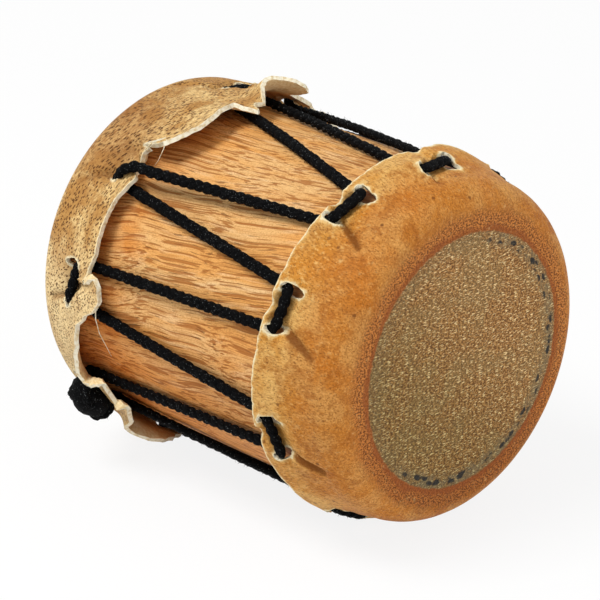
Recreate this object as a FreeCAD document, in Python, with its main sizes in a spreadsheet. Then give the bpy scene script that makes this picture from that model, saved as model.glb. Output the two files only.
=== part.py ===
"""A small two-headed drum, laced with one cord, lying on its side.

The drum's axis is X and the front head faces +X. A hollow wooden shell carries a rawhide
head at each end. One cord zigzags between the heads: it runs on the shell, slips under a
head's hem, comes out through a slit, crosses a pressed-down pleat and goes back in through
the next slit. Its two ends meet in a knot on the back head. All lengths are millimetres.
"""
import FreeCAD, Part
import math
import os
import Sketcher
from FreeCAD import Placement, Vector

doc = FreeCAD.newDocument("laced_drum")

# ---------------------------------------------------------------- driving sizes
SIZES = [
    ("DrumLength", 140.0, "from face to face, over both skins"),
    ("ShellRadius", 56.3, "outside of the shell between the heads"),
    ("BoreRadius", 42.6, "inside of the shell"),
    ("FrontRimRadius", 49.4, "outer edge of the shell's flat front rim"),
    ("FrontShoulder", 9.0, "depth of the shell's carved front shoulder"),
    ("BackRimRadius", 52.0, "outer edge of the shell's flat back rim"),
    ("BackShoulder", 8.0, "depth of the shell's carved back shoulder"),
    ("BackSwell", 2.6, "how far the shell swells at the back head"),
    ("BackSwellLength", 12.5, "length over which it swells"),
    ("FrontSkin", 1.3, "thickness of the front skin"),
    ("BackSkin", 1.5, "thickness of the back skin"),
    ("CordDiameter", 3.5, "thickness of the lacing cord"),
    ("SeatGap", 0.35, "clearance where curved faces lie on each other"),
    ("HemSlack", 0.45, "how loosely a hem rides over the cord"),
    ("StitchSpread", 12.6, "angle between the two slits of a stitch, in degrees"),
    ("SlitLength", 8.6, "length of a slit, along the drum"),
    ("SlitWidth", 6.2, "width of an opened slit, round the drum"),
    ("KnotLength", 14.5, "the knot's size along the drum"),
    ("KnotWidth", 15.0, "the knot's size round the drum"),
    ("KnotHeight", 11.0, "the knot's size away from the shell"),
]
sheet = doc.addObject("Spreadsheet::Sheet", "Sizes")
for row, (alias, value, meaning) in enumerate(SIZES, start=1):
    sheet.set(f"A{row}", meaning)
    sheet.set(f"B{row}", str(value))
    sheet.setAlias(f"B{row}", alias)
doc.recompute()


def size(alias):
    return float(sheet.get(alias))


length = size("DrumLength")
shell_radius = size("ShellRadius")
cord = size("CordDiameter")
gap = size("SeatGap")
half_spread = size("StitchSpread") / 2

# Stitches: angle round the drum from the top towards -Y, depth behind the head's own face,
# and how much deeper the second slit lies than the first.
FRONT_STITCHES = [
    (-5, 17.5, -3), (28.3, 23.5, 2), (65.3, 25.5, 1), (107.3, 26, -3), (152, 22, -1),
    (198, 23, 1), (238, 24, 0), (277, 22.5, -1), (315, 23, 1),
]
BACK_STITCHES = [
    (-9, 24.5, 2), (40.5, 25, -1), (83, 20, -3), (125, 17, 0), (163, 22, 1),
    (208, 22, 0), (247, 21, 1), (284, 22.5, -1), (318, 22, 1),
]
KNOT_STITCH = 3
# The back head's third slit has torn right through to the hem.
TORN_SLIT = (-1, 2)
TEAR = 12

# Hems: angle, depth behind the head's own face, and how far the edge flares outwards.
FRONT_HEM = [
    (-5, 27, 0.3), (10, 28, 0), (30, 27.5, 0), (50, 28.8, 0), (70, 30, 0), (90, 31.3, 0),
    (108, 31.8, 0), (130, 29, 0.2), (155, 27.5, 0), (175, 29, 0), (198, 28.5, 0),
    (218, 30, 0.3), (240, 29.5, 0), (260, 28.5, 0.3), (280, 28, 0), (298, 29.5, 0.4),
    (318, 28.5, 0), (336, 30.5, 0.8),
]
BACK_HEM = [
    (-40, 35, 1.5), (-25, 44, 3.5), (-12, 42, 1.5), (0, 41, 0.3), (10, 37.5, 0), (20, 36, 0),
    (30, 35, 0.3), (36, 31.5, 0), (46, 30, 0), (56, 30, 0), (68, 28.5, 0), (76, 27, 0),
    (82, 33, 0.5), (90, 32, 0.3), (96, 25, 0), (104, 21.5, 0), (116, 22, 0), (125, 22.5, 0),
    (134, 30, 3), (144, 35, 4.5), (152, 34, 3), (162, 30, 0.5), (182, 31, 0), (205, 29, 0),
    (226, 33, 0.5), (247, 28.5, 0), (266, 33.5, 0.6), (285, 29.5, 0), (302, 34, 0.5),
]


def wrapped(table, angle, column):
    """A hand-set table's value at an angle, eased between its entries right round the drum."""
    rows = sorted((row[0] % 360, row[column]) for row in table)
    rows = [(rows[-1][0] - 360, rows[-1][1])] + rows + [(rows[0][0] + 360, rows[0][1])]
    angle %= 360
    for (a0, v0), (a1, v1) in zip(rows, rows[1:]):
        if a0 <= angle <= a1:
            share = (angle - a0) / (a1 - a0)
            return v0 + (v1 - v0) * (1 - math.cos(math.pi * share)) / 2


def around(x, radius, angle):
    """The point at a place along the axis, a radius and an angle from the top towards -Y."""
    turn = math.radians(angle)
    return Vector(x, -radius * math.sin(turn), radius * math.cos(turn))


def offset_angle(angle, centre):
    return (angle - centre + 180) % 360 - 180


# ---------------------------------------------------------------- the wooden shell
def origin_plane(body, role):
    return next(f for f in body.Origin.OriginFeatures if f.Role == role)


def fixed_start(sketch, geometry, point, name, x_size, y_size):
    """Ties the start of a sketch's line or arc to the origin with sizes from the sheet."""
    for kind, axis, value, expression in (
        ("DistanceX", "x", point.x, x_size), ("DistanceY", "y", point.y, y_size),
    ):
        index = sketch.addConstraint(Sketcher.Constraint(kind, -1, 1, geometry, 1, value))
        sketch.renameConstraint(index, f"{name}_{axis}")
        sketch.setExpression(f"Constraints.{name}_{axis}", expression)


# Front and back faces of the wood lie one skin's thickness inside the drum's length.
front_x = length / 2 - size("FrontSkin")
back_x = -(length / 2 - size("BackSkin"))
front_shoulder_x = front_x - size("FrontShoulder")
back_shoulder_x = back_x + size("BackShoulder")
swell_x = back_shoulder_x + size("BackSwellLength")
swell_radius = shell_radius + size("BackSwell")


def shoulder_arc(depth, rise):
    """Radius of the arc that leaves a shoulder level and meets the rim's edge."""
    return (depth ** 2 + rise ** 2) / (2 * rise)


front_arc = shoulder_arc(size("FrontShoulder"), shell_radius - size("FrontRimRadius"))
back_arc = shoulder_arc(size("BackShoulder"), swell_radius - size("BackRimRadius"))


# A shoulder is carved in two flats that meet on its arc, at this share of its depth.
FLAT_SHARE = 0.3


def arc_rise(arc, depth):
    """How far the shoulder's arc has risen above its centre, a depth behind the rim's face."""
    return math.sqrt(arc ** 2 - depth ** 2)


def build_shell():
    body = doc.addObject("PartDesign::Body", "shell")
    body.Label = "shell"
    sketch = body.newObject("Sketcher::SketchObject", "shell_profile")
    sketch.AttachmentSupport = [(origin_plane(body, "XY_Plane"), "")]
    sketch.MapMode = "FlatFace"
    front_plane = "Sizes.DrumLength / 2 - Sizes.FrontSkin"
    back_plane = "Sizes.DrumLength / 2 - Sizes.BackSkin"
    front_arc_size = "((Sizes.FrontShoulder ^ 2 + (Sizes.ShellRadius - Sizes.FrontRimRadius) ^ 2)"\
        " / (2 * (Sizes.ShellRadius - Sizes.FrontRimRadius)))"
    swell_size = "(Sizes.ShellRadius + Sizes.BackSwell)"
    back_arc_size = f"((Sizes.BackShoulder ^ 2 + ({swell_size} - Sizes.BackRimRadius) ^ 2)"\
        f" / (2 * ({swell_size} - Sizes.BackRimRadius)))"
    kept = 1 - FLAT_SHARE
    corners = [
        ("bore", front_plane, "Sizes.BoreRadius"),
        ("rim", front_plane, "Sizes.FrontRimRadius"),
        ("front_flat", f"{front_plane} - {FLAT_SHARE} * Sizes.FrontShoulder",
         f"Sizes.ShellRadius - {front_arc_size}"
         f" + sqrt({front_arc_size} ^ 2 - ({kept} * Sizes.FrontShoulder) ^ 2)"),
        ("front_top", f"{front_plane} - Sizes.FrontShoulder", "Sizes.ShellRadius"),
        ("swell", f"-({back_plane} - Sizes.BackShoulder - Sizes.BackSwellLength)", "Sizes.ShellRadius"),
        ("back_top", f"-({back_plane} - Sizes.BackShoulder)", swell_size),
        ("back_flat", f"-({back_plane} - {FLAT_SHARE} * Sizes.BackShoulder)",
         f"{swell_size} - {back_arc_size}"
         f" + sqrt({back_arc_size} ^ 2 - ({kept} * Sizes.BackShoulder) ^ 2)"),
        ("back_rim", f"-({back_plane})", "Sizes.BackRimRadius"),
        ("back_bore", f"-({back_plane})", "Sizes.BoreRadius"),
    ]
    front_depth, back_depth = size("FrontShoulder"), size("BackShoulder")
    places = [
        (front_x, size("BoreRadius")),
        (front_x, size("FrontRimRadius")),
        (front_x - FLAT_SHARE * front_depth,
         shell_radius - front_arc + arc_rise(front_arc, kept * front_depth)),
        (front_shoulder_x, shell_radius),
        (swell_x, shell_radius),
        (back_shoulder_x, swell_radius),
        (back_x + FLAT_SHARE * back_depth,
         swell_radius - back_arc + arc_rise(back_arc, kept * back_depth)),
        (back_x, size("BackRimRadius")),
        (back_x, size("BoreRadius")),
    ]
    points = [Vector(x, y, 0) for x, y in places]
    for start, end in zip(points, points[1:] + points[:1]):
        sketch.addGeometry(Part.LineSegment(start, end), False)
    for index in range(len(points)):
        after = (index + 1) % len(points)
        sketch.addConstraint(Sketcher.Constraint("Coincident", index, 2, after, 1))
    for index, (name, x_size, y_size) in enumerate(corners):
        fixed_start(sketch, index, points[index], name, x_size, y_size)
    turned = body.newObject("PartDesign::Revolution", "shell_turned")
    turned.Profile = sketch
    turned.ReferenceAxis = (sketch, ["H_Axis"])
    turned.Angle = 360
    body.Tip = turned
    return body


def wood_radius(x):
    """Outside of the shell behind its front shoulder."""
    swollen = min(max((swell_x - x) / size("BackSwellLength"), 0), 1)
    return shell_radius + size("BackSwell") * swollen


# ---------------------------------------------------------------- the rawhide heads
class Head:
    """One end of the drum: where its face lies, its skin, and the shoulder it is drawn over."""

    def __init__(self, side, skin, arc, shoulder, arc_radius, stitches, hem):
        self.side = side
        self.skin = skin
        self.arc_depth = skin + shoulder
        self.arc_centre = arc_radius - arc
        self.bend = arc + gap + skin
        self.stitches = stitches
        self.hem = hem
        self.slits = []
        for angle, depth, skew in stitches:
            self.slits.append((angle - half_spread, depth - skew / 2))
            self.slits.append((angle + half_spread, depth + skew / 2))

    def x(self, depth):
        return self.side * (length / 2 - depth)

    def floor(self, depth):
        """Outer radius of the skin where it is pressed down on the shell."""
        return wood_radius(self.x(depth)) + gap + self.skin

    def edge(self):
        """Outer radius of the hem, which rides over the cord."""
        return shell_radius + cord + 2 * gap + size("HemSlack") + self.skin

    def pleat(self, angle, flat, wide):
        """1 within the flat middle of a stitch's pleat, 0 outside it, in shares of the spread."""
        apart = [abs(offset_angle(angle, stitch[0])) / half_spread
                 for index, stitch in enumerate(self.stitches) if not self.knotted(index)]
        share = min(max((wide - min(apart)) / (wide - flat), 0), 1)
        return share * share * (3 - 2 * share)

    def knotted(self, index):
        return self.side < 0 and index == KNOT_STITCH


front = Head(1, size("FrontSkin"), front_arc, size("FrontShoulder"), shell_radius,
             FRONT_STITCHES, FRONT_HEM)
back = Head(-1, size("BackSkin"), back_arc, size("BackShoulder"), swell_radius,
            BACK_STITCHES, BACK_HEM)

# Rings of the skirt: depth from the line of the slits, the pleat's share of its full depth
# there, and how wide it is flat and open, in shares of half a stitch's spread.
SKIRT_RINGS = [(-8, 0.2, 0.4, 1.6), (-2.3, 1, 0.75, 1.8), (2, 1, 0.6, 1.1), (3.5, 0.6, 0.1, 0.6)]
HEM_PLEAT = (0.4, 0.1, 0.6)
HEM_MARGIN = 4.5
PLEAT_STEPS = (-1.8, -1.1, -0.7, 0, 0.7, 1.1, 1.8)
SHOULDER_RINGS = 4
WIDEST_STEP = 9


def ring_angles(head):
    """Angles at which the skirt is shaped: close together at a stitch, wider between."""
    angles = []
    for stitch in head.stitches:
        for share in PLEAT_STEPS:
            angles.append((stitch[0] + share * half_spread) % 360)
    angles.sort()
    filled = []
    for a0, a1 in zip(angles, angles[1:] + [angles[0] + 360]):
        steps = max(1, math.ceil((a1 - a0) / WIDEST_STEP))
        filled += [a0 + (a1 - a0) * k / steps for k in range(steps)]
    return filled


def skin_section(head, angle):
    """The skin's outer line at one angle, as (depth, radius, outward normal) from face to hem."""
    line = []
    lift = math.acos(min(head.arc_depth / head.bend, 1))
    for k in range(SHOULDER_RINGS):
        turn = lift + (math.pi / 2 - lift) * k / (SHOULDER_RINGS - 1)
        depth = head.arc_depth - head.bend * math.cos(turn)
        line.append((depth, head.arc_centre + head.bend * math.sin(turn)))
    top_depth, top_radius = line[-1]
    hem_depth = wrapped(head.hem, angle, 1)
    flare = wrapped(head.hem, angle, 2)
    slit_depth = min(wrapped(head.slits, angle, 1), hem_depth - HEM_MARGIN)
    rings = [(max(slit_depth + offset, top_depth + head.skin), pleat) for offset, *pleat in SKIRT_RINGS]
    for depth, (share, flat, wide) in rings + [(hem_depth, HEM_PLEAT)]:
        climb = min((depth - top_depth) / (slit_depth + SKIRT_RINGS[-1][0] - top_depth), 1)
        loose = max((depth - slit_depth) / (hem_depth - slit_depth), 0)
        radius = top_radius + (head.edge() - top_radius) * climb + flare * loose ** 2
        pressed = (radius - head.floor(depth)) * share * head.pleat(angle, flat, wide)
        line.append((depth, radius - pressed))
    return line


def inner_line(head, line):
    """The same line, one skin's thickness further in."""
    moved = []
    for k, (depth, radius) in enumerate(line):
        d0, r0 = line[max(k - 1, 0)]
        d1, r1 = line[min(k + 1, len(line) - 1)]
        along = math.hypot(d1 - d0, r1 - r0)
        if k == 0:
            moved.append((depth + head.skin, radius))
        elif k < SHOULDER_RINGS:
            turn = math.atan2(radius - head.arc_centre, head.arc_depth - depth)
            moved.append((depth + head.skin * math.cos(turn), radius - head.skin * math.sin(turn)))
        else:
            moved.append((depth + head.skin * (r1 - r0) / along * 0.5, radius - head.skin))
    return moved


def slit(head, angle, depth, tear):
    """The cutter for one slit, pointed towards the face where the cord's pull leaves it open."""
    near, far = depth - size("SlitLength") * 0.56, depth + size("SlitLength") * 0.44 + tear
    half = size("SlitWidth") / 2
    outline = [(near, 0), (near + half, half), (far, half), (far, -half), (near + half, -half)]
    axis = around(0, 1, angle)
    across = around(0, 1, angle + 90)
    base = axis * (shell_radius - cord)
    corners = [Vector(head.x(d), 0, 0) + base + across * a for d, a in outline]
    face = Part.Face(Part.makePolygon(corners + corners[:1]))
    return face.extrude(axis * (4 * cord + size("KnotHeight")))


def faceted_solid(rings):
    """A closed solid of flat triangles between rings of points, with a flat face at each end."""
    faces = [flat_face(rings[0]), flat_face(rings[-1])]
    for ring, after in zip(rings, rings[1:]):
        for k in range(len(ring)):
            faces.append(flat_face([ring[k - 1], ring[k], after[k]]))
            faces.append(flat_face([ring[k - 1], after[k], after[k - 1]]))
    skin = Part.Shell(faces)
    skin.sewShape()
    solid = Part.Solid(skin)
    if solid.Volume < 0:
        solid.reverse()
    return solid


def flat_face(points):
    return Part.Face(Part.makePolygon(points + points[:1]))


def build_head(name, head):
    angles = ring_angles(head)
    outer = [skin_section(head, angle) for angle in angles]
    inner = [inner_line(head, line) for line in outer]
    rings = []
    for lines, order in ((outer, 1), (inner, -1)):
        for ring in list(zip(*lines))[::order]:
            rings.append([around(head.x(depth), radius, a) for a, (depth, radius) in zip(angles, ring)])
    skin = faceted_solid(rings)
    feature = doc.addObject("Part::Feature", name)
    feature.Label = name
    tears = [TEAR if (head.side, index) == TORN_SLIT else 0 for index in range(len(head.slits))]
    feature.Shape = skin.cut([slit(head, *place, tear) for place, tear in zip(head.slits, tears)])
    return feature


# ---------------------------------------------------------------- the lacing
CORD_SIDES = 7
WIDEST_TURN = 10.5
UNDER_HEM = 4.6
WIDEST_CHORD = 28
LARGEST_BEND = 10


def slit_route(head, stitch, side):
    """The cord's bends at one slit: under the hem, then out of the slit at the pleat."""
    angle, depth, skew = stitch
    depth += side * skew / 2
    low = shell_radius + gap + cord / 2
    high = (head.floor(depth) + gap + cord / 2) / math.cos(math.radians(half_spread))
    under = (head.x(depth + UNDER_HEM), low, angle + side * (half_spread + 0.8))
    out = (head.x(depth), high, angle + side * half_spread)
    return under, out


def knot_place():
    angle, depth, skew = back.stitches[KNOT_STITCH]
    return back.x(depth + 1), back.edge() + gap + size("KnotHeight") / 2, angle


def knot_end(side):
    """Where one end of the cord turns up from under the skin, and where it stops in the knot."""
    x, radius, angle = knot_place()
    turn_up = (x - 0.5, shell_radius + gap + cord / 2, angle + side * half_spread)
    return turn_up, (x, radius, angle + side * half_spread / 2)


def lacing_route():
    """Every bend of the cord as (x, radius, angle), from the knot round the drum to the knot."""
    count = len(FRONT_STITCHES)
    stops = []
    for step in range(1, count + 1):
        stops.append((front, front.stitches[(KNOT_STITCH + step) % count]))
        stops.append((back, back.stitches[(KNOT_STITCH + step) % count]))
    stops.pop()
    route = [*reversed(knot_end(1))]
    for head, stitch in stops:
        first_under, first_out = slit_route(head, stitch, -1)
        route += run_between(route[-1], first_under)
        route += [first_under, first_out]
        last_under, last_out = slit_route(head, stitch, 1)
        route += [last_out, last_under]
    turn_up, end = knot_end(-1)
    return route + run_between(route[-1], turn_up) + [turn_up, end]


def run_between(start, end):
    """Bends that keep a run on the shell instead of cutting through it."""
    turn = offset_angle(end[2], start[2])
    pieces = math.ceil(abs(turn) / WIDEST_TURN)
    bends = []
    for k in range(1, pieces):
        share = k / pieces
        bends.append((start[0] + (end[0] - start[0]) * share, start[1], start[2] + turn * share))
    return bends


def corner_arc(before, corner, after):
    """Centre, axis, angle and start of the arc that rounds a bend, and its radius."""
    back_way, on_way = before - corner, after - corner
    turn = math.pi - back_way.getAngle(on_way)
    reach = 0.45 * min(back_way.Length, on_way.Length)
    radius = min(reach / math.tan(turn / 2), LARGEST_BEND * cord)
    start = corner + back_way.normalize() * (radius * math.tan(turn / 2))
    axis = on_way.cross(back_way).normalize()
    centre = start + axis.cross(back_way).normalize() * radius
    if centre.distanceToPoint(corner + on_way) > centre.distanceToPoint(corner - on_way):
        centre = start - axis.cross(back_way).normalize() * radius
    return centre, axis, math.degrees(turn), start, radius


def rounded_line(points):
    """The route's straight runs joined by tangent arcs of a few chords each, and the radii."""
    line, radii = [points[0]], []
    for before, corner, after in zip(points, points[1:], points[2:]):
        centre, axis, angle, start, radius = corner_arc(before, corner, after)
        chords = math.ceil(angle / WIDEST_CHORD)
        for k in range(chords + 1):
            turn = FreeCAD.Rotation(axis, angle * k / chords)
            line.append(centre + turn.multVec(start - centre))
        radii.append(radius)
    return line + [points[-1]], radii


def swept_cord(points):
    """A tube of flat faces along the line, mitred where it bends, and the line's length."""
    section = regular_section(points[0], points[1] - points[0])
    faces = [flat_face(section)]
    ways = [(after - here).normalize() for here, after in zip(points, points[1:])]
    for place, way, next_way in zip(points[1:], ways, ways[1:] + ways[-1:]):
        across = (way + next_way).normalize()
        moved = [p + way * ((place - p).dot(across) / way.dot(across)) for p in section]
        for k in range(CORD_SIDES):
            faces.append(flat_face([section[k - 1], section[k], moved[k], moved[k - 1]]))
        section = moved
    faces.append(flat_face(section))
    tube = Part.Shell(faces)
    tube.sewShape()
    tube = Part.Solid(tube)
    if tube.Volume < 0:
        tube.reverse()
    return tube, sum(here.distanceToPoint(after) for here, after in zip(points, points[1:]))


# The knot's lump: rings from its skin side outwards, as (height, length, width) shares.
KNOT_RINGS = [(-1, 0.5, 0.5), (-0.5, 0.95, 0.95), (0.2, 1, 1), (0.8, 0.7, 0.75), (1, 0.3, 0.3)]
KNOT_SIDES = 12


def build_knot(name, clearance):
    """The knot as one lump, or the room that it takes up with a clearance round it."""
    high, long, wide = (size(a) / 2 + clearance for a in ("KnotHeight", "KnotLength", "KnotWidth"))
    rings = []
    for rise, longer, wider in KNOT_RINGS:
        points = []
        for k in range(KNOT_SIDES):
            turn = 2 * math.pi * k / KNOT_SIDES
            points.append(Vector(long * longer * math.cos(turn), wide * wider * math.sin(turn), high * rise))
        rings.append(points)
    x, radius, angle = knot_place()
    knot = doc.addObject("Part::Feature", name)
    knot.Label = name
    knot.Shape = faceted_solid(rings)
    knot.Placement = Placement(around(x, radius, angle), FreeCAD.Rotation(Vector(1, 0, 0), angle))
    return knot


def build_cord(knot_room):
    """The cord's tube, whose two ends stop where the knot begins."""
    line, radii = rounded_line([around(*bend) for bend in lacing_route()])
    tube, run_length = swept_cord(line)
    area = CORD_SIDES / 2 * (cord / 2) ** 2 * math.sin(2 * math.pi / CORD_SIDES)
    print(f"cord {run_length:.0f} mm long, volume over section x length "
          f"{tube.Volume / (area * run_length):.4f}, radii {min(radii):.1f} to {max(radii):.1f}")
    whole = doc.addObject("Part::Feature", "cord_through_knot")
    whole.Shape = tube
    ends_cut = doc.addObject("Part::Cut", "lacing_cord")
    ends_cut.Label = "lacing_cord"
    ends_cut.Base = whole
    ends_cut.Tool = knot_room
    return ends_cut


def regular_section(centre, ahead):
    """The corners of the cord's outline across its length, a regular polygon."""
    side = ahead.cross(Vector(0, 0, 1)).normalize()
    up = side.cross(ahead).normalize()
    turns = [2 * math.pi * k / CORD_SIDES for k in range(CORD_SIDES)]
    return [centre + (side * math.cos(t) + up * math.sin(t)) * (cord / 2) for t in turns]


# ---------------------------------------------------------------- the drum
shell = build_shell()
front_head = build_head("front_head", front)
back_head = build_head("back_head", back)
knot = build_knot("lacing_knot", 0)
knot_room = build_knot("knot_room", gap)
lacing = build_cord(knot_room)
doc.recompute()
nodes = [shell, front_head, back_head, lacing, knot]

# Lying on its side, the drum rests on z = 0 with its box centred over the origin.
box = FreeCAD.BoundBox()
for node in nodes:
    box.add(node.Shape.optimalBoundingBox())
rest = Placement(Vector(-box.Center.x, -box.Center.y, -box.ZMin), FreeCAD.Rotation())
for node in nodes:
    node.Placement = rest * node.Placement
doc.recompute()

for item in doc.Objects:
    assert "Invalid" not in item.State and "Error" not in item.State, item.Name
os.makedirs("parts", exist_ok=True)
for node in nodes:
    assert not node.Shape.isNull() and node.Shape.isValid(), node.Label
    node.Shape.exportStep(f"parts/{node.Label}.step")
    print(node.Label, len(node.Shape.Solids), round(node.Shape.Volume), node.Shape.optimalBoundingBox())
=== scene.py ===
import math

import bmesh
import bpy
from mathutils import Matrix, Vector, noise


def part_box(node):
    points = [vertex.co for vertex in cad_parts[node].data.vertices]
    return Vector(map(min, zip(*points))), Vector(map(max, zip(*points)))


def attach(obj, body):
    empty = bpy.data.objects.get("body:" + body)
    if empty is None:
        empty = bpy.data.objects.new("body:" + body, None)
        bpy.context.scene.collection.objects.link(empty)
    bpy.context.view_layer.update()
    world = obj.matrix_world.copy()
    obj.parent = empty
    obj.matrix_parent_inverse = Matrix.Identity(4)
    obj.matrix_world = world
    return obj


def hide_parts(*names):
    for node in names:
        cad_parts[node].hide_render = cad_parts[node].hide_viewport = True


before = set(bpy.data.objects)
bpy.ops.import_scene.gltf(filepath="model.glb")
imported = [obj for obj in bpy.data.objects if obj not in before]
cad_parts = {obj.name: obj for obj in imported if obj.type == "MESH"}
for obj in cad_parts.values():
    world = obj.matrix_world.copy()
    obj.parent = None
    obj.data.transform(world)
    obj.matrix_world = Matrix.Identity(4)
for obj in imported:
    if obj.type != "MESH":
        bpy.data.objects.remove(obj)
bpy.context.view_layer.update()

# ---------------------------------------------------------------- the camera
# The drum lies on its side. The camera looks down at its front head from the front left, far
# enough away that the drum is drawn almost without perspective.
MM = 0.001
shell_low, shell_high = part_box("shell")
AXIS = Vector((0, (shell_low.y + shell_high.y) / 2, (shell_low.z + shell_high.z) / 2))
CAMERA_TURN, CAMERA_TILT = math.radians(46.16), math.radians(22.79)
CAMERA_DISTANCE, LENS, SENSOR_WIDTH = 1.0, 180, 36
AIM_ALONG, AIM_LEFT, AIM_DOWN = 2.5, 4.6, 0.35


def in_scene(name, data):
    """A new object in the scene, at the origin."""
    made = bpy.data.objects.new(name, data)
    bpy.context.scene.collection.objects.link(made)
    return made


view_back = Vector((math.sin(CAMERA_TURN) * math.cos(CAMERA_TILT),
                    -math.cos(CAMERA_TURN) * math.cos(CAMERA_TILT), math.sin(CAMERA_TILT)))
view_right = Vector((math.cos(CAMERA_TURN), math.sin(CAMERA_TURN), 0))
view_up = view_back.cross(view_right)
aim = (Vector((AIM_ALONG * MM, AXIS.y, AXIS.z)) - view_right * AIM_LEFT * MM
       - view_up * AIM_DOWN * MM)
camera = in_scene("camera", bpy.data.cameras.new("camera"))
camera.data.lens = LENS
camera.data.sensor_width = SENSOR_WIDTH
camera.data.clip_end = 20
turn = Matrix((view_right, view_up, view_back)).transposed().to_4x4()
camera.matrix_world = Matrix.Translation(aim + view_back * CAMERA_DISTANCE) @ turn
bpy.context.scene.camera = camera
bpy.context.scene.view_settings.view_transform = "Standard"


# ---------------------------------------------------------------- the studio
# A wide white table top under a white sky, lit by one large soft lamp from above on the left
# and a weaker one from the right.
def node(tree, kind, inputs=None, **settings):
    """A new node with its settings, its inputs given as values or as sockets to link from."""
    made = tree.nodes.new(kind)
    for name, value in settings.items():
        setattr(made, name, value)
    for name, value in (inputs or {}).items():
        if isinstance(value, bpy.types.NodeSocket):
            tree.links.new(value, made.inputs[name])
        else:
            made.inputs[name].default_value = value
    return made


def mixed(tree, share, first, second, blend="MIX"):
    """Two colours mixed by a share, as a socket."""
    mix = node(tree, "ShaderNodeMix", data_type="RGBA", blend_type=blend)
    for index, value in ((0, share), (6, first), (7, second)):
        if isinstance(value, bpy.types.NodeSocket):
            tree.links.new(value, mix.inputs[index])
        elif index:
            mix.inputs[index].default_value = (*value, 1)
        else:
            mix.inputs[index].default_value = value
    return mix.outputs[2]


def arithmetic(tree, operation, first, second):
    """One step of arithmetic between two values, as a socket."""
    return node(tree, "ShaderNodeMath", {0: first, 1: second}, operation=operation).outputs[0]


def product(tree, first, second):
    return arithmetic(tree, "MULTIPLY", first, second)


def total(tree, first, second):
    return arithmetic(tree, "ADD", first, second)


def new_finish(name):
    """A new material and the tree of its nodes."""
    made = bpy.data.materials.new(name)
    made.use_nodes = True
    return made, made.node_tree


def between(tree, value, low, high, smooth=True):
    """0 below low, 1 above high, eased between them; low may be the larger."""
    return node(tree, "ShaderNodeMapRange", {"Value": value, "From Min": low, "From Max": high},
                interpolation_type="SMOOTHSTEP" if smooth else "LINEAR").outputs["Result"]


def seen_straight(tree):
    """1 where the white surroundings are looked at directly, in a shine or through glass."""
    path = node(tree, "ShaderNodeLightPath").outputs
    shine_or_glass = arithmetic(tree, "MAXIMUM", path["Is Glossy Ray"], path["Is Transmission Ray"])
    return arithmetic(tree, "MAXIMUM", path["Is Camera Ray"], shine_or_glass)


TABLE_REACH = 3
TABLE_GLOW, SKY_LIGHT = 0.86, 0.85
LAMPS = [
    ("key_lamp", view_back * 0.9 - view_right * 0.8 + view_up * 1.25, 0.7, 22),
    ("side_lamp", view_back * 0.9 + view_right * 1.3 - view_up * 0.1, 0.8, 9),
]

table_mesh = bpy.data.meshes.new("table_top")
table_mesh.from_pydata([(x * TABLE_REACH, y * TABLE_REACH, 0)
                        for x, y in ((-1, -1), (1, -1), (1, 1), (-1, 1))], [], [(0, 1, 2, 3)])
table_top = in_scene("table_top", table_mesh)
white, tree = new_finish("white_table")
table_paint = tree.nodes["Principled BSDF"]
table_paint.inputs["Base Color"].default_value = (0.92, 0.92, 0.92, 1)
table_paint.inputs["Roughness"].default_value = 0.9
glow = node(tree, "ShaderNodeEmission", {"Color": (1, 1, 1, 1), "Strength": 1.0})
part_glow = product(tree, seen_straight(tree), TABLE_GLOW)
shown = node(tree, "ShaderNodeMixShader",
             {0: part_glow, 1: table_paint.outputs[0], 2: glow.outputs[0]})
tree.links.new(shown.outputs[0], tree.nodes["Material Output"].inputs["Surface"])
table_mesh.materials.append(white)

world = bpy.data.worlds.new("studio")
bpy.context.scene.world = world
world.use_nodes = True
tree = world.node_tree
sky = tree.nodes["Background"]
sky.inputs["Color"].default_value = (1, 1, 1, 1)
brightness = between(tree, seen_straight(tree), -SKY_LIGHT, 1.0, smooth=False)
tree.links.new(brightness, sky.inputs["Strength"])

for name, place, width, power in LAMPS:
    lamp = in_scene(name, bpy.data.lights.new(name, "AREA"))
    lamp.data.size = width
    lamp.data.energy = power
    lamp.matrix_world = (Matrix.Translation(aim + place)
                         @ place.to_track_quat("Z", "Y").to_matrix().to_4x4())


# ---------------------------------------------------------------- the shell
# A hollow log turned and carved to a barrel end at each head. It is a light open-grained
# wood, oiled orange-brown, and darker where the wet rawhide stained it beside the back hem.
def place_in_mm(tree, rotation=(0, 0, 0)):
    """The place on the drum in millimetres from the middle of its axis, turned if asked."""
    here = node(tree, "ShaderNodeTexCoord").outputs["Object"]
    centred = vectors(tree, "SUBTRACT", here, AXIS)
    return node(tree, "ShaderNodeMapping", {"Vector": centred, "Rotation": rotation,
                                            "Scale": (1 / MM, 1 / MM, 1 / MM)}).outputs[0]


def vectors(tree, operation, first, second):
    """One step of arithmetic between two vectors, as a socket."""
    return node(tree, "ShaderNodeVectorMath", {0: first, 1: second}, operation=operation).outputs[0]


def stretched(tree, place, scale):
    """The place times a scale: one number, or one for each direction."""
    scales = scale if isinstance(scale, tuple) else (scale, scale, scale)
    return vectors(tree, "MULTIPLY", place, scales)


def grain_noise(tree, place, scale, detail=2.0, roughness=0.5, distortion=0.0):
    """Noise whose spots are as long as the scale's inverse in millimetres."""
    return node(tree, "ShaderNodeTexNoise", {
        "Vector": stretched(tree, place, scale), "Scale": 1.0, "Detail": detail,
        "Roughness": roughness, "Distortion": distortion}).outputs["Fac"]


def tinted(tree, colour, share, most, tint, blend="MIX"):
    """The colour changed to a tint by a share, and by no more than the most."""
    return mixed(tree, product(tree, share, most), colour, tint, blend)


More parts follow.
